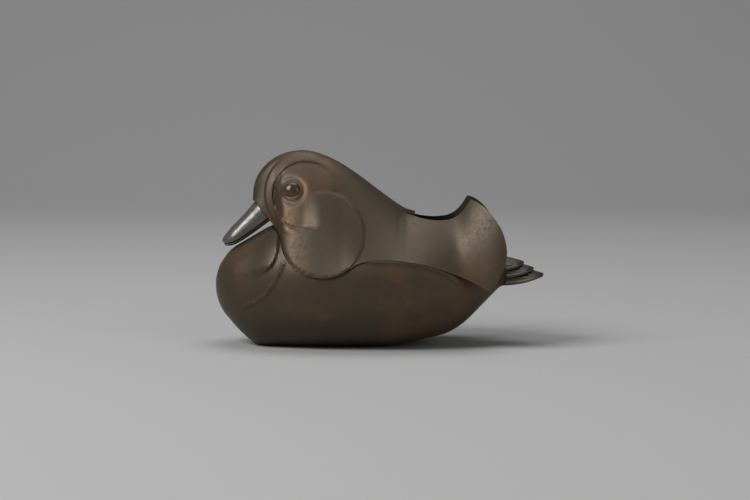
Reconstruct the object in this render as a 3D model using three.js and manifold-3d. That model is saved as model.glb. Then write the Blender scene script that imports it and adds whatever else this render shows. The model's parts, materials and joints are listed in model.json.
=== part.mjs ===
// A bronze incense burner in the form of a resting mandarin duck, in millimetres.
// The duck looks along -X, +Z is up and the plane y = 0 halves it. The lower body is an open bowl that
// holds a loose ash pan. Head, neck, back and wings are one hollow cover that lifts straight up off the
// bowl, and smoke leaves between the wings. Bill, crest, eyes and tail are cast apart and let in.
import * as THREE from "three";
import { mergeVertices } from "three/addons/utils/BufferGeometryUtils.js";
import Module from "manifold-3d";

const wasm = await Module();
wasm.setup();

// Driving sizes
const BODY_FRONT = -100.3;
const BODY_REAR = 77;
const BODY_WIDEST_Z = 37;
const BODY_HALF_WIDTH = 50;
const BODY_WALL = 3.8;
const FLOOR_Z = 5;
const COVER_WALL = 3;
const WING_WALL = 2;
const WING_TAPER = 0.09;
const WING_FLARE = 6;
const OVERHANG = 1.2;
const CLEARANCE = 0.3;
const LIP_HEIGHT = 3;
const LIP_WALL = 1.5;
const LIP_CLEARANCE = 0.9;
const HEAD_X = -46.8;
const HEAD_LENGTH = 30.4;
const HEAD_BASE_Z = 92;
const CROWN_Z = 118.4;
const FACE = { x: -45, z: 92.2, radius: 20, rise: 0.6 };
const CHEEK = { x: -34, z: 69.4, radius: 25, rise: 1.1 };
const CREST_DEPTH = 2.3;
const CREST_HALF_WIDTH = 5.4;
const CREST_FRONT = -70;
const CREST_REAR = 21.5;
const EYE_X = -52.6;
const EYE_Z = 94.8;
const EYE_RADIUS = 5.3;
const EYE_RISE = 3.4;
const EYE_SHANK_RADIUS = 2;
const EYE_SHANK_LENGTH = 6;
const BILL_PEG_RADIUS = 3;
const BILL_PEG_LENGTH = 10;
const LOWER_BILL_DEPTH = 1.8;
const TAIL_ROOT = 66;
const TAIL_HALF_WIDTH = 19;
const TAIL_LAYERS = 3;
const PAN_X = -17;
const PAN_HALF_LENGTH = 41;
const PAN_HALF_WIDTH = 27;
const PAN_HEIGHT = 23;
const PAN_WALL = 1.4;
const OPENING = { front: 15, rear: 46, halfWidth: 13 };

// Outlines of the side view, each point [x, value], read forwards along the duck
const bellyBottom = [[-100.3, 37], [-99.8, 30.7], [-98, 24.6], [-94.9, 19], [-91.3, 14.7], [-85.8, 8.5],
  [-79.7, 2.9], [-74.8, -0.6], [-66, -1.4], [-20, -1.6], [0, -1], [12.4, 0.2], [30.7, 4.3], [41, 7.1],
  [49, 11.7], [55, 16.9], [61.1, 23.3], [67.2, 29.8], [72.6, 35.6], [77, 40]];
const bodyTop = [[-100.3, 37], [-99.7, 42], [-97.8, 48], [-94.7, 53], [-91, 57.5], [-85.5, 61.2],
  [-79.4, 64.8], [-73.3, 68.4], [-68, 71.4], [-60, 74], [-20, 75], [20, 72], [46, 68], [60, 62.5],
  [68, 57.5], [77, 51]];
const bodyWidth = [[-100.3, 0], [-98.8, 10], [-95, 18], [-90, 23.5], [-80, 31], [-65, 39], [-45, 46],
  [-20, 49.2], [0, 50], [20, 48.4], [40, 43], [55, 36], [65, 28.5], [72, 20], [77, 13]];
const seamLine = [[-110, 78], [-72, 74.4], [-67, 72.4], [-62.5, 70.4], [-60.2, 67], [-59, 62.5],
  [-57, 57], [-52, 50.5], [-45, 46.4], [-34, 44.4], [-24, 46.3], [-17, 50.4], [-13.2, 52.7], [-6, 54.6],
  [1, 55.2], [9, 54.9], [16, 54], [24, 52.6], [31, 50.7], [39, 48], [48, 44.6], [56, 41], [62, 38.2],
  [64.5, 41], [67, 52], [69, 59], [73, 63], [90, 63]];
const neckTop = [[-46.8, 118.4], [-41.3, 117.8], [-35.2, 115.9], [-29.1, 113.5], [-23, 110.1],
  [-16.9, 106.2], [-10.8, 101.9], [-4.7, 97.3], [1.4, 92.7], [7.5, 88.2], [12.4, 84.4], [18, 79.5],
  [25, 75.3], [34, 73], [46, 70], [56, 65], [64, 60.2], [70, 56], [77, 51]];
const crestTail = [[7.5, 88.2], [12.4, 84.9], [16, 82.9], [21.5, 81.3]];
const wingRoof = [[7.5, 88.2], [12.4, 84.6], [18, 82], [30, 84], [45, 91], [55, 101], [65, 106], [80, 108]];
const crownRadius = [[-80, 4], [-70, 6.5], [-60, 8], [-45, 8.4], [-25, 10], [-5, 13], [10, 17],
  [25, 24], [35, 27], [80, 24]];
const wingOutline = [[8, 70], [14, 81], [19.4, 79.4], [26.6, 77.3], [34.3, 76.6], [41.3, 77.1],
  [45.3, 78.8], [48.3, 80.9], [51.3, 84.4], [54.3, 89.3], [56.4, 89.1], [60.9, 86.7], [65.9, 82.2],
  [69.9, 76.7], [72.9, 71.3], [74.6, 65.3], [75.4, 59.3], [74.4, 52.9], [72, 46.4], [68.6, 40.4],
  [66.1, 37.2], [64.1, 36.8]];
const billSections = [
  { top: [-75.8, 88], foot: [-67.5, 77.5], half: 9.5 },
  { top: [-79.3, 83.6], foot: [-73.5, 73], half: 9.2 },
  { top: [-83, 79.3], foot: [-79.5, 68.6], half: 9.4 },
  { top: [-86.8, 75.4], foot: [-84.2, 65.4], half: 10 },
  { top: [-90.9, 71.3], foot: [-88.6, 62.9], half: 10 },
  { top: [-94, 67.4], foot: [-92.3, 61.9], half: 8.6 },
  { top: [-95.9, 64.8], foot: [-95, 61.9], half: 5.6 },
  { top: [-96.5, 63], foot: [-96.3, 62.3], half: 1.6 },
];

// A smooth value along the duck. Places are taken as square roots from `start`, so blunt ends come out round.
function along(points, start = -200) {
  const place = (x) => Math.sqrt(Math.max(x - start, 0));
  const last = points.length - 1;
  const slope = (i) => {
    const a = points[Math.max(i - 1, 0)];
    const b = points[Math.min(i + 1, last)];
    return (b[1] - a[1]) / (place(b[0]) - place(a[0]));
  };
  return (x) => {
    if (x <= points[0][0]) return points[0][1];
    if (x >= points[last][0]) return points[last][1];
    let i = 0;
    while (points[i + 1][0] < x) i += 1;
    const width = place(points[i + 1][0]) - place(points[i][0]);
    const t = (place(x) - place(points[i][0])) / width;
    const rise = points[i + 1][1] - points[i][1];
    const bend = width * (slope(i) * (1 - t) * (1 - t) * t - slope(i + 1) * t * t * (1 - t));
    return points[i][1] + rise * t * t * (3 - 2 * t) + bend;
  };
}

const hullBottom = along(bellyBottom, BODY_FRONT);
const hullTop = along(bodyTop, BODY_FRONT);
const hullWidth = along(bodyWidth, BODY_FRONT);
const seam = along(seamLine);
const neck = along(neckTop);
const crestLine = along(crestTail);
const wingTop = along(wingRoof);
const bend = along(crownRadius);

// Half the width of the bowl's hull at a place of the side view
function hullSide(x, z) {
  const reach = z > BODY_WIDEST_Z ? hullTop(x) - BODY_WIDEST_Z : BODY_WIDEST_Z - hullBottom(x);
  const share = Math.min(Math.abs(z - BODY_WIDEST_Z) / Math.max(reach, 1), 1);
  return (hullWidth(x) * BODY_HALF_WIDTH) / 50 * Math.pow(1 - Math.pow(share, 2.3), 1 / 2.3);
}

function headTop(x) {
  if (x >= HEAD_X) return neck(x);
  const share = Math.min((HEAD_X - x) / HEAD_LENGTH, 1);
  return HEAD_BASE_Z + (CROWN_Z - HEAD_BASE_Z) * Math.sqrt(1 - share * share);
}

// Half the width of the cover: a conic that starts at the top line and meets the bowl at the seam
function coverSide(x, z, top) {
  const foot = hullSide(x, Math.min(seam(x), hullTop(x) - 2)) + OVERHANG;
  const drop = Math.max(top - z, 0);
  const whole = Math.max(top - Math.min(seam(x), top - 8), 8);
  const curve = (foot * foot - 2 * bend(x) * whole) / (whole * whole);
  return Math.sqrt(Math.max(2 * bend(x) * drop + curve * drop * drop, 0));
}

// Closed skin over rings of equal count, with a fan over each end
function skin(rings) {
  const count = rings[0].length;
  const points = rings.flat();
  const faces = [];
  for (let i = 0; i + 1 < rings.length; i += 1) {
    for (let j = 0; j < count; j += 1) {
      const a = i * count + j;
      const b = i * count + ((j + 1) % count);
      faces.push(a, b, b + count, a, b + count, a + count);
    }
  }
  const first = points.length;
  const ends = [rings[0], rings[rings.length - 1]];
  for (const ring of ends) {
    const middle = new THREE.Vector3();
    for (const point of ring) middle.addScaledVector(point, 1 / count);
    points.push(middle);
  }
  const lastRing = (rings.length - 1) * count;
  for (let j = 0; j < count; j += 1) {
    const next = (j + 1) % count;
    faces.push(first, next, j);
    faces.push(first + 1, lastRing + j, lastRing + next);
  }
  const geometry = new THREE.BufferGeometry().setFromPoints(points);
  geometry.setIndex(faces);
  return geometry;
}

function solid(geometry) {
  const bare = geometry.clone();
  bare.deleteAttribute("normal");
  bare.deleteAttribute("uv");
  const merged = mergeVertices(bare, 1e-4);
  const body = new wasm.Manifold(new wasm.Mesh({
    numProp: 3,
    vertProperties: new Float32Array(merged.attributes.position.array),
    triVerts: new Uint32Array(merged.index.array),
  }));
  if (body.volume() > 0) return body;
  const faces = merged.index.array;
  for (let i = 0; i < faces.length; i += 3) [faces[i], faces[i + 1]] = [faces[i + 1], faces[i]];
  return new wasm.Manifold(new wasm.Mesh({
    numProp: 3,
    vertProperties: new Float32Array(merged.attributes.position.array),
    triVerts: new Uint32Array(faces),
  }));
}

// Places along x that lie closer together towards both ends
function stations(from, to, count) {
  const places = [];
  for (let i = 0; i <= count; i += 1) {
    places.push(from + (to - from) * (1 - Math.cos((Math.PI * i) / count)) / 2);
  }
  return places;
}

function hull(inset) {
  const rings = stations(BODY_FRONT + 0.1, BODY_REAR, 24).map((x) => {
    const ring = [];
    for (let j = 0; j < 28; j += 1) {
      const angle = (j / 28) * 2 * Math.PI;
      const cos = Math.cos(angle);
      const sin = Math.sin(angle);
      const reach = sin > 0 ? hullTop(x) - BODY_WIDEST_Z : BODY_WIDEST_Z - hullBottom(x);
      const bulge = Math.pow(Math.pow(Math.abs(cos), 2.3) + Math.pow(Math.abs(sin), 2.3), -1 / 2.3);
      const half = (hullWidth(x) * BODY_HALF_WIDTH) / 50;
      ring.push(new THREE.Vector3(x, half * cos * bulge, BODY_WIDEST_Z + reach * sin * bulge));
    }
    return ring;
  });
  const geometry = skin(rings);
  const middle = (BODY_FRONT + BODY_REAR) / 2;
  const length = BODY_REAR - BODY_FRONT;
  geometry.translate(-middle, 0, -BODY_WIDEST_Z);
  geometry.scale(
    (length - 2 * inset) / length,
    (BODY_HALF_WIDTH - inset) / BODY_HALF_WIDTH,
    (BODY_WIDEST_Z - inset) / BODY_WIDEST_Z,
  );
  geometry.translate(middle, 0, BODY_WIDEST_Z);
  return solid(geometry);
}

// The upper form of head, neck and back, drawn in by `side` at the flanks and `top` at the top line
function upperForm(side, top) {
  const lowest = 30;
  const front = HEAD_X - HEAD_LENGTH;
  const rings = stations(front + Math.max(side, 0) + 0.05, BODY_REAR - Math.max(side, 0), 26).map((x) => {
    const right = [];
    const height = headTop(x) - top;
    for (let j = 0; j <= 9; j += 1) {
      const z = height - (height - lowest) * (1 - Math.cos((Math.PI * j) / 18));
      const y = Math.max(coverSide(x, z + top, headTop(x)) - side, j * 0.02);
      right.push([j === 0 ? 0 : y, z]);
    }
    const ring = right.map(([y, z]) => new THREE.Vector3(x, y, z));
    for (let j = right.length - 1; j > 0; j -= 1) ring.push(new THREE.Vector3(x, -right[j][0], right[j][1]));
    return ring;
  });
  return solid(skin(rings));
}

// An upright slab whose side view is the given outline
function slab(outline, halfWidth) {
  const shape = new THREE.Shape(outline.map(([x, z]) => new THREE.Vector2(x, z)));
  const geometry = new THREE.ExtrudeGeometry(shape, { depth: 2 * halfWidth, bevelEnabled: false });
  geometry.translate(0, 0, -halfWidth);
  geometry.rotateX(Math.PI / 2);
  return solid(geometry);
}

function seamOutline(gap, far) {
  const outline = [];
  for (let x = -108; x <= 88; x += 3.5) {
    const heights = [-gap, 0, gap].map((shift) => seam(x + shift));
    outline.push([x, Math.max(...heights) + gap / 2]);
  }
  outline.push([88, far], [-108, far]);
  return outline;
}

function drum(place, radius, halfWidth) {
  const geometry = new THREE.CylinderGeometry(radius, radius, 2 * halfWidth, 32);
  geometry.translate(place.x, 0, place.z);
  return solid(geometry);
}

// The wing's lower edge lies just over the bowl, as the rest of the cover's edge does
function wingFoot() {
  return seamOutline(CLEARANCE, 0).filter(([x, z]) => x > 8 && x < 62 && z > 0).reverse();
}

function wing(side) {
  const rings = [];
  for (let i = 0; i <= 14; i += 1) {
    const x = 6 + (i / 14) * 74;
    const outer = [];
    const inner = [];
    for (let j = 0; j <= 7; j += 1) {
      const z = 34 + (j / 7) * 57;
      const top = wingTop(x);
      const root = Math.min(x, 30);
      const whole = top - seam(Math.min(x, 60));
      const foot = hullSide(root, seam(root)) + OVERHANG - WING_TAPER * (x - root);
      const crown = x < 18 ? bend(x) : bend(18);
      const curve = (foot * foot - 2 * crown * whole) / (whole * whole);
      const drop = Math.max(top - z, 0.2);
      const flare = WING_FLARE * THREE.MathUtils.smoothstep(x, 44, 76);
      const y = Math.sqrt(Math.max(2 * crown * drop + curve * drop * drop, 1)) + flare;
      outer.push(new THREE.Vector3(x, side * y, z));
      inner.unshift(new THREE.Vector3(x, side * (y - WING_WALL), z));
    }
    rings.push(outer.concat(inner));
  }
  return solid(skin(rings)).intersect(slab(wingOutline.concat(wingFoot()), 80));
}

function crest(extra, lift) {
  const rings = stations(CREST_FRONT - extra, CREST_REAR, 16).map((x) => {
    const share = (x - CREST_FRONT) / (CREST_REAR - CREST_FRONT);
    const half = CREST_HALF_WIDTH * (1 - 0.55 * Math.max(share, 0)) + extra;
    const line = x > 7.5 ? crestLine(x) : headTop(x);
    const sag = (half * half) / (2 * bend(x));
    const under = line - CREST_DEPTH - extra;
    return [[-half, line - sag + lift], [-half / 2, line - sag / 4 + lift], [0, line + lift],
      [half / 2, line - sag / 4 + lift], [half, line - sag + lift], [half, under - sag],
      [0, under], [-half, under - sag]].map(([y, z]) => new THREE.Vector3(x, y, z));
  });
  return solid(skin(rings));
}

function billDirection(section) {
  const [topX, topZ] = section.top;
  const [footX, footZ] = section.foot;
  return new THREE.Vector3(topX - footX, 0, topZ - footZ);
}

function upperBill() {
  const rings = billSections.map((section) => {
    const rise = billDirection(section);
    const ring = [];
    for (let j = 0; j < 14; j += 1) {
      const angle = (Math.PI * j) / 13;
      const y = section.half * Math.cos(angle);
      const share = Math.pow(Math.abs(Math.sin(angle)), 0.8);
      ring.push(new THREE.Vector3(section.foot[0] + rise.x * share, y, section.foot[1] + rise.z * share));
    }
    return ring;
  });
  return solid(skin(rings));
}

function lowerBill() {
  const rings = billSections.slice(0, 7).map((section) => {
    const down = billDirection(section).normalize().negate();
    const half = section.half - 0.8;
    const ring = [];
    for (let j = 0; j < 14; j += 1) {
      const angle = (Math.PI * j) / 13;
      const depth = CLEARANCE + LOWER_BILL_DEPTH * Math.pow(Math.abs(Math.sin(angle)), 0.6);
      const x = section.foot[0] + down.x * depth;
      ring.push(new THREE.Vector3(x, half * Math.cos(angle), section.foot[1] + down.z * depth));
    }
    return ring;
  });
  return solid(skin(rings));
}

// A round bar from a point of the middle plane along a direction in it
function rod(from, direction, radius, length) {
  const geometry = new THREE.CylinderGeometry(radius, radius, length, 16);
  geometry.translate(0, length / 2, 0);
  const turn = new THREE.Quaternion().setFromUnitVectors(new THREE.Vector3(0, 1, 0), direction);
  geometry.applyQuaternion(turn);
  geometry.translate(from.x, from.y, from.z);
  return solid(geometry);
}

function eyeStud(side, extra) {
  const seat = coverSide(EYE_X, EYE_Z, headTop(EYE_X)) - 0.8;
  const profile = [[0, -EYE_SHANK_LENGTH - extra], [EYE_SHANK_RADIUS + extra, -EYE_SHANK_LENGTH - extra],
    [EYE_SHANK_RADIUS + extra, -extra], [EYE_RADIUS + extra, -extra]];
  const steps = 5;
  for (let i = 1; i < steps; i += 1) {
    const angle = (Math.PI / 2) * (i / steps);
    profile.push([(EYE_RADIUS + extra) * Math.cos(angle), (EYE_RISE + 4 * extra) * Math.sin(angle)]);
  }
  profile.push([0, EYE_RISE + 4 * extra]);
  const geometry = new THREE.LatheGeometry(profile.map(([r, h]) => new THREE.Vector2(r, h)), 18);
  geometry.rotateX(side > 0 ? 0.25 : -0.25);
  if (side < 0) geometry.rotateX(Math.PI);
  geometry.translate(EYE_X, side * seat, EYE_Z);
  return solid(geometry);
}

// One layer of the tail: a fan that is highest along its middle and ends in a rounded tip
function tailLayer(index) {
  const tip = 100.2 - 5.5 * index;
  const half = TAIL_HALF_WIDTH - 2.5 * index;
  const drop = 1.9 * (TAIL_LAYERS - 1 - index);
  const rings = stations(TAIL_ROOT, tip, 9).map((x) => {
    const share = (x - TAIL_ROOT) / (tip - TAIL_ROOT);
    const width = half * Math.pow(Math.max(1 - Math.pow(share, 3.2), 0), 0.55) * (0.55 + 0.45 * share) + 0.4;
    const ridge = 55.4 - 9.2 * Math.pow((x - TAIL_ROOT) / 34.2, 1.2) - drop;
    const thick = 3.4 * (1 - share) + 1;
    const ring = [];
    const side = 5;
    for (let j = -side; j <= side; j += 1) {
      const y = (j / side) * width;
      ring.push(new THREE.Vector3(x, y, ridge - 9 * Math.pow(y / half, 2) * (0.5 + 0.5 * share)));
    }
    for (let j = side; j >= -side; j -= 1) {
      const y = (j / side) * width;
      const edge = 1 - 0.5 * Math.pow(j / side, 2);
      ring.push(new THREE.Vector3(x, y, ridge - thick * edge - 9 * Math.pow(y / half, 2) * (0.5 + 0.5 * share)));
    }
    return ring;
  });
  return solid(skin(rings));
}

function ashPan() {
  const profile = [[0, 0], [0.72, 0], [0.8, 0.03], [0.97, 0.8], [1, 0.86], [1, 1], [0.955, 1], [0.93, 0.86],
    [0.765, 0.09], [0.7, PAN_WALL / PAN_HEIGHT], [0, PAN_WALL / PAN_HEIGHT]];
  const outline = profile.map(([r, h]) => new THREE.Vector2(r * PAN_HALF_WIDTH, h * PAN_HEIGHT));
  const geometry = new THREE.LatheGeometry(outline, 28);
  geometry.rotateX(Math.PI / 2);
  geometry.scale(PAN_HALF_LENGTH / PAN_HALF_WIDTH, 1, 1);
  geometry.translate(PAN_X, 0, FLOOR_Z + CLEARANCE);
  return solid(geometry);
}

function tooling() {
  const above = slab(seamOutline(CLEARANCE, 140), 80);
  const below = slab(seamOutline(0, -60), 80);
  const ground = solid(new THREE.BoxGeometry(300, 200, 200).translate(0, 0, 100));
  const aboveFloor = solid(new THREE.BoxGeometry(300, 200, 200).translate(0, 0, 100 + FLOOR_Z));
  return { above, below, ground, aboveFloor };
}

const cut = tooling();
const billAxis = new THREE.Vector3(10.5, 0, 8.3).normalize();
const billCentre = new THREE.Vector3(-71.65, 0, 82.75).addScaledVector(billAxis, -BILL_PEG_LENGTH / 2);

const tailSolid = tailLayer(0).add(tailLayer(1)).add(tailLayer(2));

function lowerBody() {
  const lipInset = COVER_WALL + LIP_CLEARANCE;
  const bowl = hull(0).subtract(hull(BODY_WALL).intersect(cut.aboveFloor)).intersect(cut.ground);
  const lipBand = upperForm(lipInset, CREST_DEPTH + COVER_WALL)
    .subtract(upperForm(lipInset + LIP_WALL, CREST_DEPTH + COVER_WALL + LIP_WALL));
  const reach = [];
  for (let x = -54; x <= 56; x += 5.5) reach.push([x, seam(x) - 2]);
  for (let x = 56; x >= -54; x -= 5.5) reach.push([x, seam(x) + LIP_HEIGHT]);
  return bowl.intersect(cut.below).add(lipBand.intersect(slab(reach, 80)));
}

function cover() {
  const plain = upperForm(0, 0);
  const cheek = upperForm(-CHEEK.rise, -CHEEK.rise).intersect(drum(CHEEK, CHEEK.radius, 80));
  const face = upperForm(-FACE.rise, -FACE.rise).intersect(drum(FACE, FACE.radius, 80));
  const hollow = upperForm(COVER_WALL, COVER_WALL + CREST_DEPTH);
  const openingShape = new THREE.Shape();
  const { front, rear, halfWidth } = OPENING;
  openingShape.absarc(front + halfWidth, 0, halfWidth, Math.PI / 2, 1.5 * Math.PI);
  openingShape.absarc(rear - halfWidth, 0, halfWidth, 1.5 * Math.PI, 2.5 * Math.PI);
  const opening = solid(new THREE.ExtrudeGeometry(openingShape, { depth: 60, bevelEnabled: false })
    .translate(0, 0, 60));
  const mouthCut = slab([[-110, 88], [-75.8 + CLEARANCE, 88], [-67.5 + CLEARANCE, 77.5],
    [-62.4, 71], [-62.4, 60], [-110, 60]], 80);
  return plain.add(cheek).add(face)
    .subtract(hollow)
    .subtract(opening)
    .intersect(cut.above)
    .add(wing(1)).add(wing(-1))
    .subtract(mouthCut)
    .subtract(crest(CLEARANCE, 6))
    .subtract(rod(billCentre, billAxis, BILL_PEG_RADIUS + CLEARANCE, BILL_PEG_LENGTH + 8))
    .subtract(eyeStud(1, CLEARANCE)).subtract(eyeStud(-1, CLEARANCE));
}

function largestBody(body) {
  const bodies = body.decompose();
  bodies.sort((a, b) => b.volume() - a.volume());
  return bodies[0];
}

const bronze = { color: 0x5a4a38, roughness: 0.45, metalness: 0.85 };
const darkMetal = { color: 0x3a3936, roughness: 0.3, metalness: 0.85 };
const duck = new THREE.Group();

function addPiece(name, body, finish) {
  const mesh = body.getMesh();
  const geometry = new THREE.BufferGeometry();
  geometry.setAttribute("position", new THREE.BufferAttribute(new Float32Array(mesh.vertProperties), 3));
  geometry.setIndex(new THREE.BufferAttribute(new Uint32Array(mesh.triVerts), 1));
  geometry.computeVertexNormals();
  const piece = new THREE.Mesh(geometry, new THREE.MeshStandardMaterial(finish));
  piece.name = name;
  duck.add(piece);
}

const tailGap = hull(0).subtract(cut.above);
const upper = upperBill().add(rod(billCentre, billAxis, BILL_PEG_RADIUS, BILL_PEG_LENGTH));
addPiece("lower_body", largestBody(lowerBody()), bronze);
addPiece("cover", largestBody(cover()), bronze);
addPiece("upper_bill", upper, darkMetal);
addPiece("lower_bill", lowerBill(), darkMetal);
addPiece("crest", crest(0, 0), bronze);
addPiece("left_eye", eyeStud(-1, 0), bronze);
addPiece("right_eye", eyeStud(1, 0), bronze);
addPiece("tail", largestBody(tailSolid.subtract(tailGap)), bronze);
addPiece("ash_pan", ashPan(), { color: 0x6b5a3e, roughness: 0.55, metalness: 0.8 });

export default duck;
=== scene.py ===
# %% [markdown]
# A bronze incense burner in the form of a resting mandarin duck.
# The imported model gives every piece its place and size. This script dresses it: cast bronze surfaces
# with soft edges, a dark patina with warmer patches, and a quiet studio round it.

# %% Load the fixed frame
import json
import math
import bpy
import bmesh
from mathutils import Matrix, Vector

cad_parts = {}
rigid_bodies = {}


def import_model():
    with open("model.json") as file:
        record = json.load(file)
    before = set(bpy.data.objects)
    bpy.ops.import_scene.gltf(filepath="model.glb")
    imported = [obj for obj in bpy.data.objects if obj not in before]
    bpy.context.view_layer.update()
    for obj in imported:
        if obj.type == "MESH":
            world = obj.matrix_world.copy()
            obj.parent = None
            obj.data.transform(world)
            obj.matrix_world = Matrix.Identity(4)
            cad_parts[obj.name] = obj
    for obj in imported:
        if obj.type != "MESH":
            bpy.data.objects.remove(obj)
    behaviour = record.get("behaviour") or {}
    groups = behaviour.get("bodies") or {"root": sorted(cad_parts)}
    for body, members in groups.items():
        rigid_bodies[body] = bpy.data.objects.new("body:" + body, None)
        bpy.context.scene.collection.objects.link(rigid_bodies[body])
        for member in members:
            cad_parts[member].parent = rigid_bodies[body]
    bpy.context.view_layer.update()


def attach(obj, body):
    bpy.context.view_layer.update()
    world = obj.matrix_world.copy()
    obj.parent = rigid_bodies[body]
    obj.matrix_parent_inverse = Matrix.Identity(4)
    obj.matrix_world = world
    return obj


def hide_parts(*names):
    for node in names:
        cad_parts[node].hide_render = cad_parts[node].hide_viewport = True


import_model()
MM = 0.001

# %% [markdown]
# Shader maths reads best as plain expressions. One small class wraps a socket, so that a mask is
# written as `edge * 0.5 + grain`, and one method adds any other node by its type, settings and inputs.
# An input is given by its name, or by its number after the letter i.

# %% A small class for shader expressions
class Socket:
    def __init__(self, tree, socket):
        self.tree = tree
        self.socket = socket

    def node(self, kind, settings=None, output=0, **inputs):
        made = self.tree.nodes.new(kind)
        for name, value in (settings or {}).items():
            setattr(made, name, value)
        for name, value in inputs.items():
            numbered = name[0] == "i" and name[1:].isdigit()
            target = made.inputs[int(name[1:]) if numbered else name]
            if isinstance(value, Socket):
                self.tree.links.new(value.socket, target)
            else:
                target.default_value = value
        return Socket(self.tree, made.outputs[output])

    def maths(self, operation, a, b=0.0):
        return self.node("ShaderNodeMath", {"operation": operation}, i0=a, i1=b)

    def __add__(self, other):
        return self.maths("ADD", self, other)

    __radd__ = __add__

    def __mul__(self, other):
        return self.maths("MULTIPLY", self, other)

    def __sub__(self, other):
        return self.maths("SUBTRACT", self, other)

    def above(self, low, high):
        smooth = {"interpolation_type": "SMOOTHSTEP"}
        return self.node("ShaderNodeMapRange", smooth, i0=self, i1=low, i2=high)

    def noise(self, scale, detail, rough):
        return self.node("ShaderNodeTexNoise", Vector=self, Scale=scale, Detail=detail, Roughness=rough)

    def blend(self, other, share):
        return self.node("ShaderNodeMix", {"data_type": "RGBA"}, output=2, i0=share, i6=self, i7=other)


# %% [markdown]
# The patina is one finish with a few settings: a deep base colour, a warmer colour that shows in soft
# patches, a greenish bloom, and tiny pale specks. Roughness follows the same patches. Raised edges are
# painted a little brighter and smoother, partly as wear and partly as a painted highlight along the rims,
# and a fine grain in the bump keeps it from looking like plastic.

# %% Patinated bronze
CLOUD_SCALE = 17.0
PATCH_SCALE = 55.0
GRAIN_SCALE = 420.0
DUST_SCALE = 1500.0
PALE_SPECK = (0.22, 0.19, 0.14, 1)
# Lighter colour for raised edges: partly wear, partly a painted highlight along the rims.
EDGE_WEAR_AND_HIGHLIGHT = (0.16, 0.12, 0.08, 1)
BUMP_DISTANCE = 0.0004
METAL_SHARE = 0.55
POINTINESS = 7


def patina(name, deep, warm, green, rough, warmth, grain):
    material = bpy.data.materials.new(name)
    material.use_nodes = True
    tree = material.node_tree
    shader = tree.nodes["Principled BSDF"]
    place = Socket(tree, tree.nodes.new("ShaderNodeTexCoord").outputs["Object"])
    clouds = place.noise(CLOUD_SCALE, 5.0, 0.6)
    patches = place.noise(PATCH_SCALE, 6.0, 0.65)
    fine = place.noise(GRAIN_SCALE, 5.0, 0.7)
    dust = place.noise(DUST_SCALE, 2.0, 0.5)
    rub = (clouds * 0.6 + patches * 0.4).above(0.48, 0.62)
    bloom = (patches * 0.5 + fine * 0.5).above(0.53, 0.62)
    speck = dust.above(0.74, 0.79)
    # Convex edges get a lighter colour: partly wear, partly a painted highlight along rims and thin edges.
    edge_wear_and_highlight = place.node("ShaderNodeNewGeometry", output=POINTINESS).above(0.52, 0.60)
    ground = place.node("ShaderNodeRGB")
    ground.socket.default_value = (*deep, 1)
    colour = ground.blend((*warm, 1), rub * warmth)
    colour = colour.blend((*green, 1), bloom * 0.35)
    colour = colour.blend(PALE_SPECK, speck * 0.4)
    colour = colour.blend(EDGE_WEAR_AND_HIGHLIGHT, edge_wear_and_highlight * 0.4)
    gloss = rough + (fine - 0.5) * 0.22 + bloom * 0.1 - edge_wear_and_highlight * 0.08
    height = fine * 0.6 + patches * 0.6 + dust * 0.15
    bump = place.node("ShaderNodeBump", Strength=grain, Distance=BUMP_DISTANCE, Height=height)
    tree.links.new(colour.socket, shader.inputs["Base Color"])
    tree.links.new(gloss.socket, shader.inputs["Roughness"])
    tree.links.new(bump.socket, shader.inputs["Normal"])
    shader.inputs["Metallic"].default_value = METAL_SHARE
    return material


bronze = patina("bronze_patina", deep=(0.070, 0.050, 0.032), warm=(0.135, 0.070, 0.032),
    green=(0.062, 0.060, 0.042), rough=0.47, warmth=0.6, grain=0.25)
dark_metal = patina("dark_bill_metal", deep=(0.13, 0.128, 0.118), warm=(0.15, 0.13, 0.10),
    green=(0.12, 0.125, 0.115), rough=0.30, warmth=0.3, grain=0.04)
eye_bronze = patina("polished_eye_bronze", deep=(0.075, 0.052, 0.038), warm=(0.16, 0.085, 0.045),
    green=(0.07, 0.07, 0.055), rough=0.28, warmth=0.5, grain=0.12)
tail_bronze = patina("tail_bronze", deep=(0.070, 0.060, 0.047), warm=(0.14, 0.085, 0.05),
    green=(0.07, 0.075, 0.06), rough=0.42, warmth=0.5, grain=0.35)
pan_bronze = patina("heat_dulled_bronze", deep=(0.10, 0.078, 0.050), warm=(0.20, 0.11, 0.05),
    green=(0.09, 0.09, 0.07), rough=0.58, warmth=0.6, grain=0.5)
print("finishes:", len(bpy.data.materials))

# %% [markdown]
# The big surfaces follow rules, so they are written as rules: a top line, a half width for each height,
# and the relief that the modeller pressed into the wax. Working in the side view makes every relief
# line a short formula, and both flanks come from it at once. All lengths here are in millimetres.

# %% Main sizes
BODY_FRONT = -100.3
BODY_REAR = 77.0
WIDEST_Z = 37.0
HALF_WIDTH = 50.0
BODY_WALL = 3.8
FLOOR_Z = 5.0
ROUNDNESS = 2.3
HEAD_X = -46.8
HEAD_Z = 92.0
HEAD_REACH = 30.4
HEAD_HEIGHT = 26.4
COVER_WALL = 3.0
COVER_ROOF = 5.3
OVERHANG = 1.2
CLEARANCE = 0.3
SIDE_REACH = 80.0


# %% Smooth lines of the side view
def along(points, start=-200.0):
    def place(x):
        return math.sqrt(max(x - start, 0.0))

    keys = [place(x) for x, _ in points]
    values = [v for _, v in points]
    last = len(points) - 1

    def slope(i):
        a = max(i - 1, 0)
        b = min(i + 1, last)
        return (values[b] - values[a]) / (keys[b] - keys[a])

    def line(x):
        key = min(max(place(x), keys[0]), keys[last])
        i = 0
        while i < last - 1 and keys[i + 1] < key:
            i += 1
        width = keys[i + 1] - keys[i]
        t = (key - keys[i]) / width
        bend = width * (slope(i) * (1 - t) ** 2 * t - slope(i + 1) * t * t * (1 - t))
        return values[i] + (values[i + 1] - values[i]) * t * t * (3 - 2 * t) + bend

    return line


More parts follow.
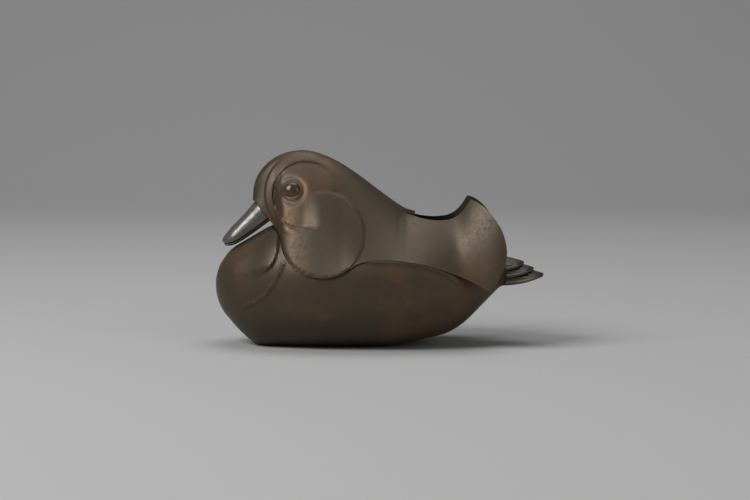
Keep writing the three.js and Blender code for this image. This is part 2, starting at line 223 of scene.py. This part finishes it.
hull_bottom = along([(-100.3, 37), (-99.8, 30.7), (-98, 24.6), (-94.9, 19), (-91.3, 14.7), (-85.8, 8.5),
    (-79.7, 2.9), (-74.8, -0.6), (-66, -1.4), (-20, -1.6), (0, -1), (12.4, 0.2), (30.7, 4.3), (41, 7.1),
    (49, 11.7), (55, 16.9), (61.1, 23.3), (67.2, 29.8), (72.6, 35.6), (77, 40)], BODY_FRONT)
hull_top = along([(-100.3, 37), (-99.7, 42), (-97.8, 48), (-94.7, 53), (-91, 57.5), (-85.5, 61.2),
    (-79.4, 64.8), (-73.3, 68.4), (-68, 71.4), (-60, 74), (-20, 75), (20, 72), (46, 68), (60, 62.5),
    (68, 57.5), (77, 51)], BODY_FRONT)
hull_width = along([(-100.3, 0), (-98.8, 10), (-95, 18), (-90, 23.5), (-80, 31), (-65, 39), (-45, 46),
    (-20, 49.2), (0, 50), (20, 48.4), (40, 43), (55, 36), (65, 28.5), (72, 20), (77, 13)], BODY_FRONT)
seam = along([(-110, 78), (-72, 74.4), (-67, 72.4), (-62.5, 70.4), (-60.2, 67), (-59, 62.5), (-57, 57),
    (-52, 50.5), (-45, 46.4), (-34, 44.4), (-24, 46.3), (-17, 50.4), (-13.2, 52.7), (-6, 54.6), (1, 55.2),
    (9, 54.9), (16, 54), (24, 52.6), (31, 50.7), (39, 48), (48, 44.6), (56, 41), (62, 38.2), (64.5, 41),
    (67, 52), (69, 59), (73, 63), (90, 63)])
neck = along([(-46.8, 118.4), (-41.3, 117.8), (-35.2, 115.9), (-29.1, 113.5), (-23, 110.1),
    (-16.9, 106.2), (-10.8, 101.9), (-4.7, 97.3), (1.4, 92.7), (7.5, 88.2), (12.4, 84.4), (18, 79.5),
    (25, 75.3), (34, 73), (46, 70), (56, 65), (64, 60.2), (70, 56), (77, 51)])
crest_tail = along([(7.5, 88.2), (12.4, 84.9), (16, 82.9), (21.5, 81.3)])
wing_roof = along([(7.5, 88.2), (12.4, 84.6), (18, 82), (30, 84), (45, 91), (55, 101), (65, 106), (80, 108)])
crown = along([(-80, 4), (-70, 6.5), (-60, 8), (-45, 8.4), (-25, 10), (-5, 13), (10, 17), (25, 24),
    (35, 27), (80, 24)])
flank_line = along([(-12, 53.2), (-9.4, 52.8), (11.9, 51.9), (23.7, 50.5), (35.5, 46.3), (44.4, 40.4),
    (53.3, 32.3), (60, 24)])
breast_fold = along([(43.8, -74.2), (46.2, -68.9), (51, -63.5), (56.9, -60.5), (62.9, -59.6), (72, -60)])


# %% Helpers for relief
def ease(x, low, high):
    t = min(max((x - low) / (high - low), 0.0), 1.0)
    return t * t * (3 - 2 * t)


def from_centre(x, z, centre):
    return math.hypot(x - centre[0], z - centre[1])


def to_path(x, z, path):
    best = math.inf
    for (ax, az), (bx, bz) in zip(path, path[1:]):
        dx = bx - ax
        dz = bz - az
        t = min(max(((x - ax) * dx + (z - az) * dz) / (dx * dx + dz * dz), 0.0), 1.0)
        best = min(best, math.hypot(x - ax - t * dx, z - az - t * dz))
    return best


# %% [markdown]
# The head's relief: a domed cheek disc that stands proud, a sunk face inside a raised ring, and a
# groove round the eye. The face runs over the front of the disc and fades behind it.

# %% Relief of the head
CHEEK = (-34, 69.4)
CHEEK_RADIUS = 25
CHEEK_EDGE = (24.2, 25.2)
CHEEK_STEP = 0.9
CHEEK_DOME = 1.3
FACE = (-45, 92.2)
FACE_RADIUS = 20
FACE_EDGE = (19.0, 20.3)
FACE_DOME = 1.6
FACE_DEPTH = 1.3
SWIRL = (-47, -35)
FACE_FADE = (-42, -26)
EYE = (-52.6, 94.8)
EYE_GROOVE_RADIUS = 6.9
EYE_GROOVE_WIDTH = 1.4
EYE_GROOVE_DEPTH = 0.8
RING = (-44, 93)
RING_EDGE = (24.8, 26.0)
RING_FADE = (-62, -50)
RING_STEP = 1.2


def head_relief(x, z):
    cheek = from_centre(x, z, CHEEK)
    face = from_centre(x, z, FACE)
    swirl = 1 - ease(x, *SWIRL)
    in_cheek = 1 - ease(cheek, *CHEEK_EDGE)
    in_face = 1 - ease(face, *FACE_EDGE)
    dome = max(1 - (cheek / CHEEK_RADIUS) ** 2, 0)
    lift = in_cheek * (CHEEK_STEP + CHEEK_DOME * dome) * (1 - in_face * swirl)
    bowl = 1 - (min(face, FACE_RADIUS) / FACE_RADIUS) ** 2
    sunk = in_face * (FACE_DOME * bowl - FACE_DEPTH * (1 - ease(x, *FACE_FADE)))
    from_groove = from_centre(x, z, EYE) - EYE_GROOVE_RADIUS
    groove = -EYE_GROOVE_DEPTH * math.exp(-(from_groove / EYE_GROOVE_WIDTH) ** 2)
    ring = ease(from_centre(x, z, RING), *RING_EDGE) * (1 - ease(x, *RING_FADE))
    return lift + (sunk + groove) * max(1 - in_cheek, swirl) - RING_STEP * ring


# %% [markdown]
# The body's relief all stands proud: a fine line and a soft swelling on the breast, and a low step at
# the flank line, which is proud above that line.

# %% Relief of the body
BREAST_REAR = -50
BREAST_LINE = [(-57, 53.4), (-59.4, 47.4), (-62.3, 41.4), (-67.7, 34.3), (-74.3, 28.9), (-82.1, 25)]
LINE_WIDTH = 0.8
LINE_HEIGHT = 0.9
SWELLING_EDGE = (0, 2.2)
SWELLING_FADE = (3, 17)
SWELLING_FOOT = (43, 52)
SWELLING_HEIGHT = 2.4
FLANK_FRONT = (-14, -4)
FLANK_REAR = (40, 58)
FLANK_EDGE = 1.4
FLANK_STEP = 1.0


def body_relief(x, z):
    height = 0.0
    if x < BREAST_REAR:
        inward = breast_fold(z) - x
        swelling = ease(inward, *SWELLING_EDGE) * (1 - ease(inward, *SWELLING_FADE))
        height += LINE_HEIGHT * math.exp(-(to_path(x, z, BREAST_LINE) / LINE_WIDTH) ** 2)
        height += SWELLING_HEIGHT * swelling * ease(z, *SWELLING_FOOT)
    if x > FLANK_FRONT[0]:
        share = ease(x, *FLANK_FRONT) * (1 - ease(x, *FLANK_REAR))
        height += FLANK_STEP * ease(z - flank_line(x), 0.0, FLANK_EDGE) * share
    return height


# %% Half width of the body and top line of the cover
def hull_reach(x, over):
    return hull_top(x) - WIDEST_Z if over else WIDEST_Z - hull_bottom(x)


def hull_side(x, z):
    share = min(abs(z - WIDEST_Z) / max(hull_reach(x, z > WIDEST_Z), 1.0), 1.0)
    return hull_width(x) * (1 - share ** ROUNDNESS) ** (1 / ROUNDNESS)


def head_top(x):
    if x >= HEAD_X:
        return neck(x)
    share = min((HEAD_X - x) / HEAD_REACH, 1.0)
    return HEAD_Z + HEAD_HEIGHT * math.sqrt(1 - share * share)


# %% [markdown]
# Three ways to make a form: a closed skin over a row of rings, a slab cut to an outline in the side
# view, and a boolean of two forms. Rings crowd together at both ends, where the surface turns fastest.

# %% Skins, slabs and booleans
WELD_DISTANCE = 1e-7


def stations(low, high, count):
    return [low + (high - low) * (1 - math.cos(math.pi * i / count)) / 2 for i in range(count + 1)]


def form(name, points, faces, weld):
    mesh = bpy.data.meshes.new(name)
    mesh.from_pydata([(x * MM, y * MM, z * MM) for x, y, z in points], [], faces)
    work = bmesh.new()
    work.from_mesh(mesh)
    if weld:
        bmesh.ops.remove_doubles(work, verts=work.verts, dist=WELD_DISTANCE)
    bmesh.ops.triangulate(work, faces=work.faces)
    bmesh.ops.recalc_face_normals(work, faces=work.faces)
    work.to_mesh(mesh)
    work.free()
    made = bpy.data.objects.new(name, mesh)
    bpy.context.scene.collection.objects.link(made)
    return made


def skin(name, rings):
    count = len(rings[0])
    points = [p for ring in rings for p in ring]
    faces = []
    for i in range(len(rings) - 1):
        for j in range(count):
            a = i * count + j
            b = i * count + (j + 1) % count
            faces.append((a, b, b + count, a + count))
    for ring in (rings[0], rings[-1]):
        points.append(tuple(sum(p[k] for p in ring) / count for k in range(3)))
    centre = len(points) - 2
    end = (len(rings) - 1) * count
    for j in range(count):
        after = (j + 1) % count
        faces.append((centre, after, j))
        faces.append((centre + 1, end + j, end + after))
    return form(name, points, faces, weld=True)


def slab(name, outline):
    count = len(outline)
    points = [(x, y, z) for y in (-SIDE_REACH, SIDE_REACH) for x, z in outline]
    faces = [tuple(range(count)), tuple(range(2 * count - 1, count - 1, -1))]
    faces += [(i, (i + 1) % count, count + (i + 1) % count, count + i) for i in range(count)]
    return form(name, points, faces, weld=False)


def carve(target, tool, operation):
    modifier = target.modifiers.new(operation, "BOOLEAN")
    modifier.operation = operation
    modifier.solver = "MANIFOLD"
    modifier.object = tool
    graph = bpy.context.evaluated_depsgraph_get()
    result = bpy.data.meshes.new_from_object(target.evaluated_get(graph))
    target.modifiers.clear()
    target.data = result
    bpy.data.objects.remove(tool)


# %% Cutting lines in the side view
FAR_FRONT = -120
FAR_REAR = 90
FAR_TOP = 90
SEAM_FRONT = -108
SEAM_REAR = 88
SEAM_STEP = 0.5


def level_cut(name, height):
    return slab(name, [(FAR_FRONT, height), (FAR_FRONT, FAR_TOP), (FAR_REAR, FAR_TOP), (FAR_REAR, height)])


def seam_outline(gap, far):
    line = []
    for step in range(int((SEAM_REAR - SEAM_FRONT) / SEAM_STEP) + 1):
        x = SEAM_FRONT + step * SEAM_STEP
        line.append((x, max(seam(x - gap), seam(x), seam(x + gap)) + gap / 2))
    return line + [(SEAM_REAR, far), (SEAM_FRONT, far)]


# %% Bind a piece to its node and body
SHARP_ANGLE = math.radians(32)


def dress(piece, node, body, material, sharp=True):
    piece.name = node + "_cast"
    mesh = piece.data
    mesh.materials.clear()
    mesh.materials.append(material)
    mesh.shade_smooth()
    if sharp:
        mesh.set_sharp_from_angle(angle=SHARP_ANGLE)
    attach(piece, body)
    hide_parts(node)
    print(node, len(mesh.polygons), "faces")


# %% [markdown]
# The bowl is the hull with its relief, hollowed, cut flat on the table and cut along the seam. Relief
# fades out towards the middle plane.

# %% Lower body
NOSE_GAP = 0.1
KEEL = (6, 14)
BELOW_TABLE = -60


def hull(name, count, around, inset=0.0, relief=False):
    middle = (BODY_FRONT + BODY_REAR) / 2
    length = BODY_REAR - BODY_FRONT
    rings = []
    for x in stations(BODY_FRONT + NOSE_GAP, BODY_REAR, count):
        ring = []
        half = hull_width(x)
        for j in range(around):
            angle = 2 * math.pi * j / around
            cos = math.cos(angle)
            sin = math.sin(angle)
            bulge = (abs(cos) ** ROUNDNESS + abs(sin) ** ROUNDNESS) ** (-1 / ROUNDNESS)
            y = half * cos * bulge
            z = WIDEST_Z + hull_reach(x, sin > 0) * sin * bulge
            if relief and abs(y) > KEEL[0]:
                y += math.copysign(body_relief(x, z) * ease(abs(y), *KEEL), y)
            ring.append((middle + (x - middle) * (length - 2 * inset) / length,
                y * (HALF_WIDTH - inset) / HALF_WIDTH,
                WIDEST_Z + (z - WIDEST_Z) * (WIDEST_Z - inset) / WIDEST_Z))
        rings.append(ring)
    return skin(name, rings)


lower_body = hull("body", count=230, around=190, relief=True)
hollow = hull("hollow", count=50, around=44, inset=BODY_WALL)
carve(hollow, level_cut("floor_cut", FLOOR_Z), "INTERSECT")
carve(lower_body, hollow, "DIFFERENCE")
carve(lower_body, level_cut("table_cut", 0), "INTERSECT")
carve(lower_body, slab("seam_cut", seam_outline(0, BELOW_TABLE)), "INTERSECT")
dress(lower_body, "lower_body", "bowl", bronze)


# %% [markdown]
# Head, neck and back are one form. At each place along it, the section is a curve that leaves the top
# line with the crown's radius and meets the body's flank at the seam, with a small overhang.

# %% Form of head, neck and back
FRONT_GAP = 0.05
FORM_FOOT = 30
LEAST_HEIGHT = 8
UNDER_HULL_TOP = 2
LEAST_SPREAD = 0.02
NAPE = (4, 10)


def upper_form(name, count, down, side=0.0, top=0.0, relief=False):
    rings = []
    for x in stations(HEAD_X - HEAD_REACH + side + FRONT_GAP, BODY_REAR - side, count):
        roof = head_top(x)
        foot = hull_side(x, min(seam(x), hull_top(x) - UNDER_HULL_TOP)) + OVERHANG
        whole = max(roof - seam(x), LEAST_HEIGHT)
        curve = (foot * foot - 2 * crown(x) * whole) / (whole * whole)
        right = []
        for j in range(down + 1):
            z = roof - top - (roof - top - FORM_FOOT) * (1 - math.cos(math.pi * j / (2 * down)))
            drop = roof - z
            y = math.sqrt(max(2 * crown(x) * drop + curve * drop * drop, 0)) - side
            if relief:
                y += head_relief(x, z) * ease(y, *NAPE)
            right.append((0.0 if j == 0 else max(y, j * LEAST_SPREAD), z))
        rings.append([(x, y, z) for y, z in right] + [(x, -y, z) for y, z in reversed(right[1:])])
    return skin(name, rings)


# %% [markdown]
# Each wing is a thin leaf that carries the back's curve upwards, flares out towards the rear, and is
# cut to its outline in the side view. Its foot follows the seam.

# %% Wing leaves
WING_ROOT = [(8, 70), (14, 81)]
WING_TOP = [(19.4, 79.4), (26.6, 77.3), (34.3, 76.6), (41.3, 77.1), (45.3, 78.8), (48.3, 80.9),
    (51.3, 84.4), (54.3, 89.3)]
WING_REAR = [WING_TOP[-1], (56.4, 89.1), (60.9, 86.7), (65.9, 82.2), (69.9, 76.7), (72.9, 71.3),
    (74.6, 65.3), (75.4, 59.3), (74.4, 52.9), (72, 46.4), (68.6, 40.4), (66.1, 37.2), (64.1, 36.8)]
WING_FOOT = (8, 62)
LEAF_STATIONS = range(6, 81)
LEAF_LOW = 34
LEAF_HIGH = 91
LEAF_ROWS = 44
LEAF_WALL = 2
LAST_BACK_X = 30
LAST_SEAM_X = 60
LAST_CROWN_X = 18
TAPER = 0.09
FLARE = 6
FLARE_RANGE = (44, 76)
LEAST_DROP = 0.2


def rounded(path, steps=6):
    smooth = [path[0]]
    for i in range(1, len(path) - 1):
        a = path[i - 1]
        b = path[i]
        c = path[i + 1]
        for k in range(steps + 1):
            t = k / steps
            smooth.append(tuple((1 - t) ** 2 * (a[n] + b[n]) / 2 + 2 * t * (1 - t) * b[n]
                + t * t * (b[n] + c[n]) / 2 for n in (0, 1)))
    return smooth + [path[-1]]


def wing(side):
    rings = []
    for x in LEAF_STATIONS:
        root = min(x, LAST_BACK_X)
        whole = wing_roof(x) - seam(min(x, LAST_SEAM_X))
        foot = hull_side(root, seam(root)) + OVERHANG - TAPER * (x - root)
        radius = crown(min(x, LAST_CROWN_X))
        curve = (foot * foot - 2 * radius * whole) / (whole * whole)
        outer = []
        inner = []
        for j in range(LEAF_ROWS + 1):
            z = LEAF_LOW + j * (LEAF_HIGH - LEAF_LOW) / LEAF_ROWS
            drop = max(wing_roof(x) - z, LEAST_DROP)
            y = math.sqrt(max(2 * radius * drop + curve * drop * drop, 1)) + FLARE * ease(x, *FLARE_RANGE)
            outer.append((x, side * y, z))
            inner.append((x, side * (y - LEAF_WALL), z))
        rings.append(outer + inner[::-1])
    leaf = skin("leaf", rings)
    seam_line = [(x, z) for x, z in seam_outline(CLEARANCE, 0) if WING_FOOT[0] < x < WING_FOOT[1] and z > 0]
    outline = WING_ROOT + rounded(WING_TOP) + rounded(WING_REAR) + seam_line[::-1]
    carve(leaf, slab("leaf_outline", outline), "INTERSECT")
    return leaf


# %% [markdown]
# The crest is a strip that follows the top line from the forehead down the nape, and leaves it for a
# free tip over the smoke opening. Its bed in the cover is the same strip with the clearance added.

# %% Crest
CREST_FRONT = -70
CREST_TIP = 21.5
CREST_FREE = 7.5
CREST_HALF_WIDTH = 5.4
CREST_NARROWING = 0.55
CREST_DEPTH = 2.3
CREST_ROWS = 6
BED_HEADROOM = 6


def crest_rings(count, extra=0.0, lift=0.0):
    rings = []
    for x in stations(CREST_FRONT - extra, CREST_TIP, count):
        share = max((x - CREST_FRONT) / (CREST_TIP - CREST_FRONT), 0)
        half = CREST_HALF_WIDTH * (1 - CREST_NARROWING * share) + extra
        line = crest_tail(x) if x > CREST_FREE else head_top(x)
        rows = [half * k / CREST_ROWS for k in range(-CREST_ROWS, CREST_ROWS + 1)]
        upper = [(x, y, line - y * y / (2 * crown(x)) + lift) for y in rows]
        lower = [(x, y, line - CREST_DEPTH - extra - y * y / (2 * crown(x))) for y in reversed(rows)]
        rings.append(upper + lower)
    return rings


# %% [markdown]
# The cover is the upper form, hollowed, opened over the smoke, cut along the seam, joined with its
# wings, cut away under the bill, and bedded for the crest.

# %% Smoke opening
OPENING_FRONT = 15
OPENING_REAR = 46
OPENING_RADIUS = 13
OPENING_LOW = 60
OPENING_HIGH = 120
HALF_TURN = 24


def smoke_drum():
    rim = []
    for step in range(2 * HALF_TURN + 1):
        angle = math.pi / 2 + math.pi * step / HALF_TURN
        front = step <= HALF_TURN
        middle = OPENING_FRONT + OPENING_RADIUS if front else OPENING_REAR - OPENING_RADIUS
        rim.append((middle + OPENING_RADIUS * math.cos(angle), OPENING_RADIUS * math.sin(angle)))
    return skin("smoke_drum", [[(x, y, z) for x, y in rim] for z in (OPENING_LOW, OPENING_HIGH)])


# %% Cover and its crest
ABOVE_HEAD = 140
MOUTH = [(-110, 88), (-75.5, 88), (-67.2, 77.5), (-62.4, 71), (-62.4, 60), (-110, 60)]

cover = upper_form("cover_form", count=240, down=90, relief=True)
cover_hollow = upper_form("cover_hollow", count=50, down=20, side=COVER_WALL, top=COVER_ROOF)
carve(cover, cover_hollow, "DIFFERENCE")
carve(cover, smoke_drum(), "DIFFERENCE")
carve(cover, slab("seam_cut", seam_outline(CLEARANCE, ABOVE_HEAD)), "INTERSECT")
for side in (1, -1):
    carve(cover, wing(side), "UNION")
carve(cover, slab("mouth_cut", MOUTH), "DIFFERENCE")
carve(cover, skin("crest_bed", crest_rings(count=90, extra=CLEARANCE, lift=BED_HEADROOM)), "DIFFERENCE")
dress(cover, "cover", "lid", bronze)
dress(skin("crest_strip", crest_rings(count=120)), "crest", "lid", bronze)


# %% [markdown]
# Smaller castings have no knife edges. Each starts as a copy of the frame's solid, is rebuilt as an
# even skin of small faces, and is then relaxed, which rounds its arrises.

# %% Cast skins over the frame's solids
SOURCE_WELD = 2e-6
RELAX_FACTOR = 0.5


def cast_skin(node, body, material, voxel, passes):
    source = next(o for o in bpy.data.objects if o.name == node or o.name.startswith(node + "."))
    mesh = source.data.copy()
    piece = bpy.data.objects.new(node + "_cast", mesh)
    bpy.context.scene.collection.objects.link(piece)
    work = bmesh.new()
    work.from_mesh(mesh)
    bmesh.ops.remove_doubles(work, verts=work.verts, dist=SOURCE_WELD)
    work.to_mesh(mesh)
    work.free()
    remesh = piece.modifiers.new("even skin", "REMESH")
    remesh.mode = "VOXEL"
    remesh.voxel_size = voxel * MM
    relax = piece.modifiers.new("relax", "SMOOTH")
    relax.factor = RELAX_FACTOR
    relax.iterations = passes
    graph = bpy.context.evaluated_depsgraph_get()
    result = bpy.data.meshes.new_from_object(piece.evaluated_get(graph))
    piece.modifiers.clear()
    piece.data = result
    dress(piece, node, body, material, sharp=False)


cast_skin("upper_bill", "lid", dark_metal, voxel=0.4, passes=14)
cast_skin("lower_bill", "lid", dark_metal, voxel=0.4, passes=3)
cast_skin("left_eye", "lid", eye_bronze, voxel=0.3, passes=8)
cast_skin("right_eye", "lid", eye_bronze, voxel=0.3, passes=8)
cast_skin("ash_pan", "pan", pan_bronze, voxel=0.6, passes=4)

# %% [markdown]
# The tail is a fan of three overlapping feather layers. Each is highest along its middle, droops to
# its edges, and carries fine barbs that run back from the root.

# %% Tail
TAIL_ROOT = 66
TAIL_TIP = 100.2
TAIL_HALF_WIDTH = 18.5
TAIL_HEIGHT = 55.6
TAIL_FALL = 9.0
TAIL_DROOP = 17
TAIL_LAYERS = 3
LAYER_SHORTER = 6
LAYER_NARROWER = 2.2
LAYER_DROOP_LESS = 3
LAYER_RISE = 1.9
ROOT_THICKNESS = 3.2
TIP_THICKNESS = 1.1
BARB_HEIGHT = 0.22
BARB_TURNS = 30
TAIL_ROWS = 24
TAIL_STATIONS = 60
TIP_ROUNDING = 3.4
ROOT_WIDTH_SHARE = 0.7
LEAST_HALF_WIDTH = 0.4
FALL_POWER = 1.2
DROOP_POWER = 0.8
LEAST_DROOP = 0.8
BARB_START = (0.1, 0.3)
STERN_GROWTH = 0.3


def tail_layer(index):
    tip = TAIL_TIP - LAYER_SHORTER * index
    half = TAIL_HALF_WIDTH - LAYER_NARROWER * index
    rings = []
    for x in stations(TAIL_ROOT, tip, TAIL_STATIONS):
        share = (x - TAIL_ROOT) / (tip - TAIL_ROOT)
        widening = ROOT_WIDTH_SHARE + (1 - ROOT_WIDTH_SHARE) * share
        width = half * math.sqrt(max(1 - share ** TIP_ROUNDING, 0)) * widening + LEAST_HALF_WIDTH
        fall = TAIL_FALL * ((x - TAIL_ROOT) / (TAIL_TIP - TAIL_ROOT)) ** FALL_POWER
        ridge = TAIL_HEIGHT - fall - LAYER_RISE * (TAIL_LAYERS - 1 - index)
        droop = (TAIL_DROOP - LAYER_DROOP_LESS * index) * (1 - share) ** DROOP_POWER
        droop = droop * width / half + LEAST_DROOP
        thickness = ROOT_THICKNESS * (1 - share) + TIP_THICKNESS
        upper = []
        lower = []
        for k in range(-TAIL_ROWS, TAIL_ROWS + 1):
            t = k / TAIL_ROWS
            barb = BARB_HEIGHT * math.cos(BARB_TURNS * t) * ease(share, *BARB_START)
            z = ridge - droop * t * t
            upper.append((x, t * width, z + barb))
            lower.append((x, t * width, z - thickness * (1 - 0.5 * t * t)))
        rings.append(upper + lower[::-1])
    return skin("tail_layer", rings)


tail = tail_layer(0)
for index in range(1, TAIL_LAYERS):
    carve(tail, tail_layer(index), "UNION")
carve(tail, hull("stern", count=120, around=90, inset=-STERN_GROWTH), "DIFFERENCE")
dress(tail, "tail", "bowl", tail_bronze)

# %% [markdown]
# The studio is a pale floor that curves up into its backdrop, a broad soft light from the upper left
# and front, a weaker one from above, and a weak one from the right, so the metal shows one wide
# highlight and a soft shadow. Lengths are in metres from here on.

# %% Floor and backdrop
FLOOR_FRONT = -3.0
FLOOR_REAR = 1.2
FLOOR_HALF_WIDTH = 4.0
BEND_RADIUS = 1.0
BEND_STEPS = 12
BACKDROP_TOP = 4.0
FLOOR_GREY = (0.42, 0.42, 0.42, 1)


def backdrop():
    profile = [(FLOOR_FRONT, 0.0), (FLOOR_REAR, 0.0)]
    for step in range(1, BEND_STEPS + 1):
        angle = math.pi / 2 * step / BEND_STEPS
        profile.append((FLOOR_REAR + BEND_RADIUS * math.sin(angle), BEND_RADIUS * (1 - math.cos(angle))))
    profile.append((FLOOR_REAR + BEND_RADIUS, BACKDROP_TOP))
    points = [(x, y, z) for y, z in profile for x in (-FLOOR_HALF_WIDTH, FLOOR_HALF_WIDTH)]
    faces = [(2 * i, 2 * i + 1, 2 * i + 3, 2 * i + 2) for i in range(len(profile) - 1)]
    mesh = bpy.data.meshes.new("floor")
    mesh.from_pydata(points, [], faces)
    mesh.shade_smooth()
    floor = bpy.data.objects.new("floor", mesh)
    bpy.context.scene.collection.objects.link(floor)
    material = bpy.data.materials.new("pale_floor")
    material.use_nodes = True
    shader = material.node_tree.nodes["Principled BSDF"]
    shader.inputs["Base Color"].default_value = FLOOR_GREY
    shader.inputs["Roughness"].default_value = 0.9
    mesh.materials.append(material)


backdrop()

# %% Lights and world
LIT_POINT = Vector((0, 0, 0.05))
WORLD_GREY = (0.5, 0.5, 0.5, 1)
WORLD_STRENGTH = 0.35


def soft_light(name, place, size, power):
    data = bpy.data.lights.new(name, "AREA")
    data.shape = "RECTANGLE"
    data.size, data.size_y = size
    data.energy = power
    light = bpy.data.objects.new(name, data)
    light.location = place
    light.rotation_euler = (LIT_POINT - Vector(place)).to_track_quat("-Z", "Y").to_euler()
    bpy.context.scene.collection.objects.link(light)


soft_light("key", place=(-1.1, -0.9, 1.3), size=(0.9, 0.9), power=26)
soft_light("fill", place=(1.6, -1.2, 0.8), size=(1.2, 1.2), power=5)
soft_light("top", place=(0.1, 0.4, 1.8), size=(1.4, 1.0), power=12)
world = bpy.data.worlds.new("studio")
world.use_nodes = True
background = world.node_tree.nodes["Background"]
background.inputs["Color"].default_value = WORLD_GREY
background.inputs["Strength"].default_value = WORLD_STRENGTH
bpy.context.scene.world = world

# %% Camera at the photograph's angle
RISE = math.radians(5)
DISTANCE = 1.275
AIM = Vector((-0.0029, 0, 0.0572))

camera_data = bpy.data.cameras.new("camera")
camera_data.lens = 100
camera_data.sensor_width = 36
camera = bpy.data.objects.new("camera", camera_data)
bpy.context.scene.collection.objects.link(camera)
camera.location = AIM + DISTANCE * Vector((0, -math.cos(RISE), math.sin(RISE)))
camera.rotation_euler = (math.pi / 2 - RISE, 0, 0)
bpy.context.scene.camera = camera
bpy.context.scene.view_settings.view_transform = "Standard"
